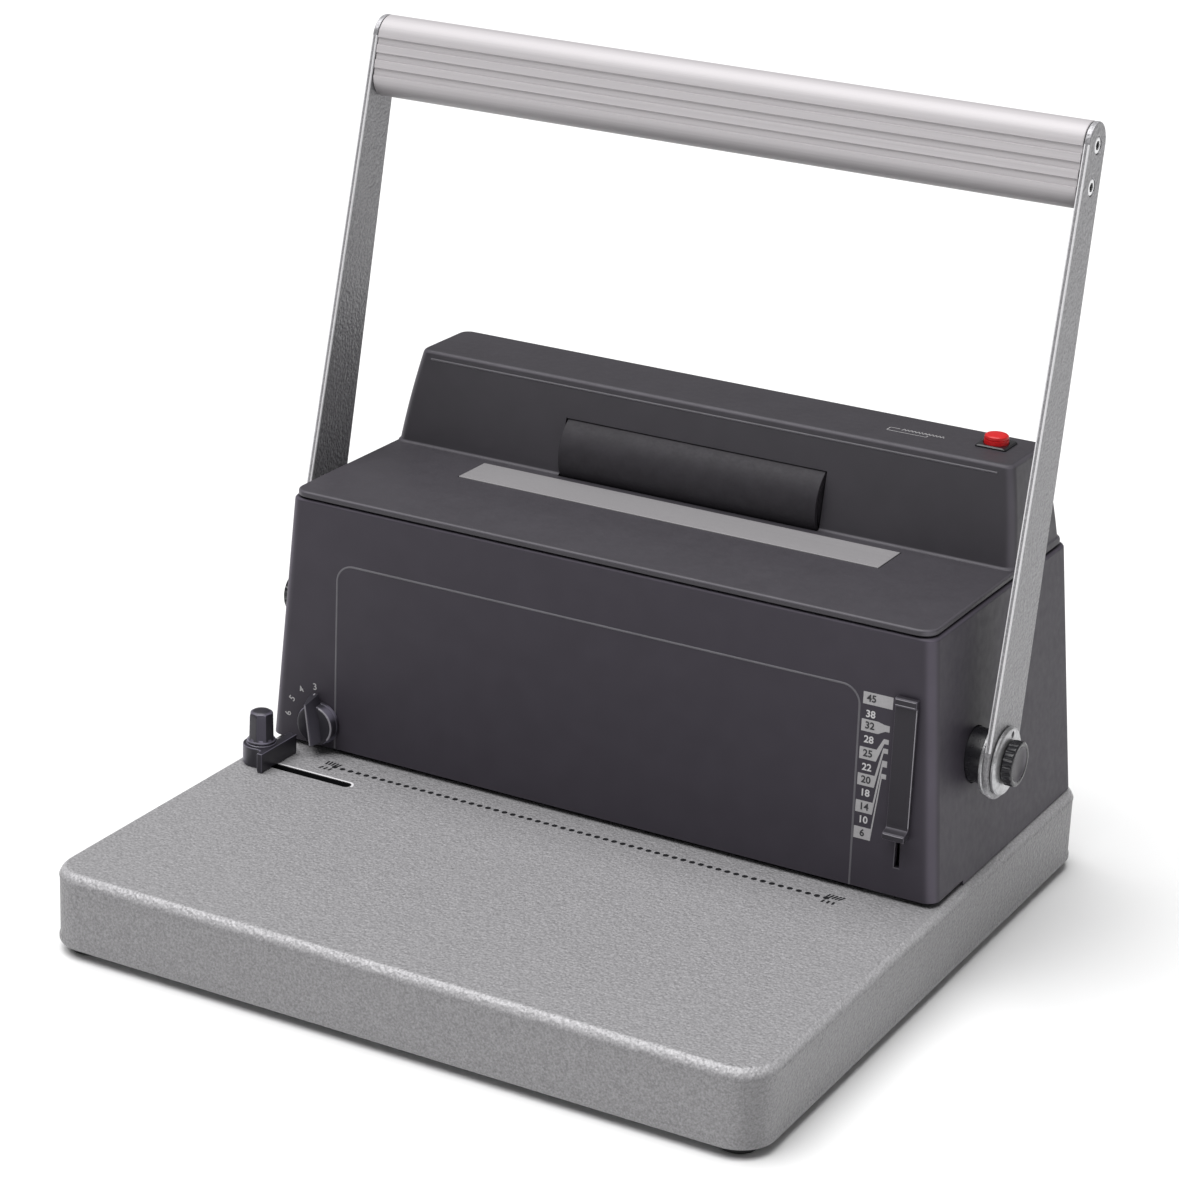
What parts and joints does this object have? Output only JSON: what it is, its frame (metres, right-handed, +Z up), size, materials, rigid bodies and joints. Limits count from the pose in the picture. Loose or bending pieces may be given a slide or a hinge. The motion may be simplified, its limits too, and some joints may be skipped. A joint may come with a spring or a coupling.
{
  "type": "coil binding machine",
  "caption": "Desktop binding machine: a bow handle punches a row of round holes in paper, and a powered roller on the lid spins a plastic coil through them.",
  "frame": {"origin": "on the ground, under the middle of the bounding box", "axes": "+X to the right as the user sees it, +Y to the back, +Z up; the paper goes in along +Y"},
  "size_m": [0.438, 0.4024, 0.4297],
  "materials": {
    "silver_coat": "silver-grey hammertone coat",
    "cast_silver": "cast, satin",
    "dark_plastic": "fine textured, satin",
    "lid_plastic": "fine textured, satin",
    "black_plastic": "glossy",
    "steel": "machined",
    "brushed_aluminium": "brushed",
    "rubber": "matte",
    "red_plastic": "glossy",
    "slate_plastic": "semi-gloss",
    "circuit_board": "solder mask",
    "brass": "machined"
  },
  "bodies": {
    "frame": {"base_tray": "silver_coat", "housing_shell": "dark_plastic", "rear_cover": "dark_plastic", "top_cover": "lid_plastic", "power_inlet": "black_plastic", "button_bezel": "black_plastic", "button_switch": "black_plastic", "bearing_collar_left": "black_plastic", "bearing_collar_right": "black_plastic", "bottom_cover": "steel", "roller_bracket_left": "steel", "roller_bracket_right": "steel", "drive_motor": "steel", "motor_bracket": "steel", "die_plate": "steel", "paper_guide": "steel", "return_spring_left": "steel", "return_spring_right": "steel", "side_frame_left": "steel", "side_frame_right": "steel", "tie_bar": "steel", "coil_channel_strip": "brushed_aluminium", "foot_front_left": "rubber", "foot_front_right": "rubber", "foot_rear_left": "rubber", "foot_rear_right": "rubber", "drive_belt": "rubber", "control_board": "circuit_board"},
    "handle": {"drive_shaft": "steel", "drive_cam_left": "steel", "drive_cam_right": "steel", "hub_flange_left": "cast_silver", "hub_flange_right": "cast_silver", "hub_boss_left": "cast_silver", "hub_boss_right": "cast_silver", "handle_arm_left": "silver_coat", "handle_arm_right": "silver_coat", "grip_bar": "brushed_aluminium", "grip_screw_lower_left": "steel", "grip_screw_lower_right": "steel", "grip_screw_upper_left": "steel", "grip_screw_upper_right": "steel"},
    "clamp_knob_left": {"clamp_knob_left": "black_plastic"},
    "clamp_knob_right": {"clamp_knob_right": "black_plastic"},
    "punch": {"punch_carriage": "steel"},
    "margin_dial": {"margin_knob": "black_plastic", "margin_cam": "steel"},
    "depth_stop": {"depth_stop": "steel"},
    "side_stop": {"side_stop_block": "black_plastic", "side_stop_nut": "steel"},
    "side_stop_knob": {"side_stop_knob": "black_plastic"},
    "coil_gauge": {"coil_gauge": "slate_plastic"},
    "push_button": {"push_button": "red_plastic"},
    "coil_roller": {"coil_roller": "rubber", "roller_axle": "steel", "roller_pulley": "black_plastic"},
    "motor_rotor": {"motor_shaft": "steel", "motor_pulley": "brass"},
    "chip_drawer": {"chip_drawer": "black_plastic"}
  },
  "joints": [
    {"name": "handle_swing", "type": "hinge", "parent": "frame", "child": "handle", "pos_m": [0, 0.05605, 0.1125], "axis": [1, 0, 0], "range_deg": [0, 80], "stiffness_Nm_per_rad": 3},
    {"name": "punch_stroke", "type": "slide", "parent": "frame", "child": "punch", "axis": [0, 0, -1], "range_m": [0, 0.011], "deforming": ["return_spring_left", "return_spring_right"]},
    {"name": "clamp_knob_left_turn", "type": "hinge", "parent": "handle", "child": "clamp_knob_left", "pos_m": [0, 0.05605, 0.1125], "axis": [1, 0, 0], "range_deg": [0, 360]},
    {"name": "clamp_knob_right_turn", "type": "hinge", "parent": "handle", "child": "clamp_knob_right", "pos_m": [0, 0.05605, 0.1125], "axis": [-1, 0, 0], "range_deg": [0, 360]},
    {"name": "margin_turn", "type": "hinge", "parent": "frame", "child": "margin_dial", "pos_m": [-0.1668, 0, 0.063], "axis": [0, -1, 0], "range_deg": [0, 81]},
    {"name": "depth_stop_slide", "type": "slide", "parent": "frame", "child": "depth_stop", "axis": [0, 1, 0], "range_m": [0, 0.003]},
    {"name": "side_stop_slide", "type": "slide", "parent": "frame", "child": "side_stop", "axis": [1, 0, 0], "range_m": [0, 0.055]},
    {"name": "side_stop_knob_turn", "type": "hinge", "parent": "side_stop", "child": "side_stop_knob", "pos_m": [-0.1848, -0.0275, 0.065], "axis": [0, 0, 1], "range_deg": [0, 180]},
    {"name": "gauge_slide", "type": "slide", "parent": "frame", "child": "coil_gauge", "axis": [0, 0, 1], "range_m": [-0.032, 0]},
    {"name": "button_press", "type": "slide", "parent": "frame", "child": "push_button", "axis": [0, 0, -1], "range_m": [0, 0.003], "stiffness_N_per_m": 200},
    {"name": "roller_spin", "type": "hinge", "parent": "frame", "child": "coil_roller", "pos_m": [0, 0.1265, 0.2052], "axis": [1, 0, 0], "continuous": true},
    {"name": "motor_spin", "type": "hinge", "parent": "frame", "child": "motor_rotor", "pos_m": [0.09, 0.13, 0.15], "axis": [1, 0, 0], "continuous": true},
    {"name": "drawer_slide", "type": "slide", "parent": "frame", "child": "chip_drawer", "axis": [-1, 0, 0], "range_m": [0, 0.25]}
  ],
  "couplings": [
    {"joint": "punch_stroke", "follows": "handle_swing", "m_per_rad": 0.007878},
    {"joint": "margin_turn", "follows": "depth_stop_slide", "rad_per_m": 471.23},
    {"joint": "motor_spin", "follows": "roller_spin", "ratio": 1.5}
  ]
}
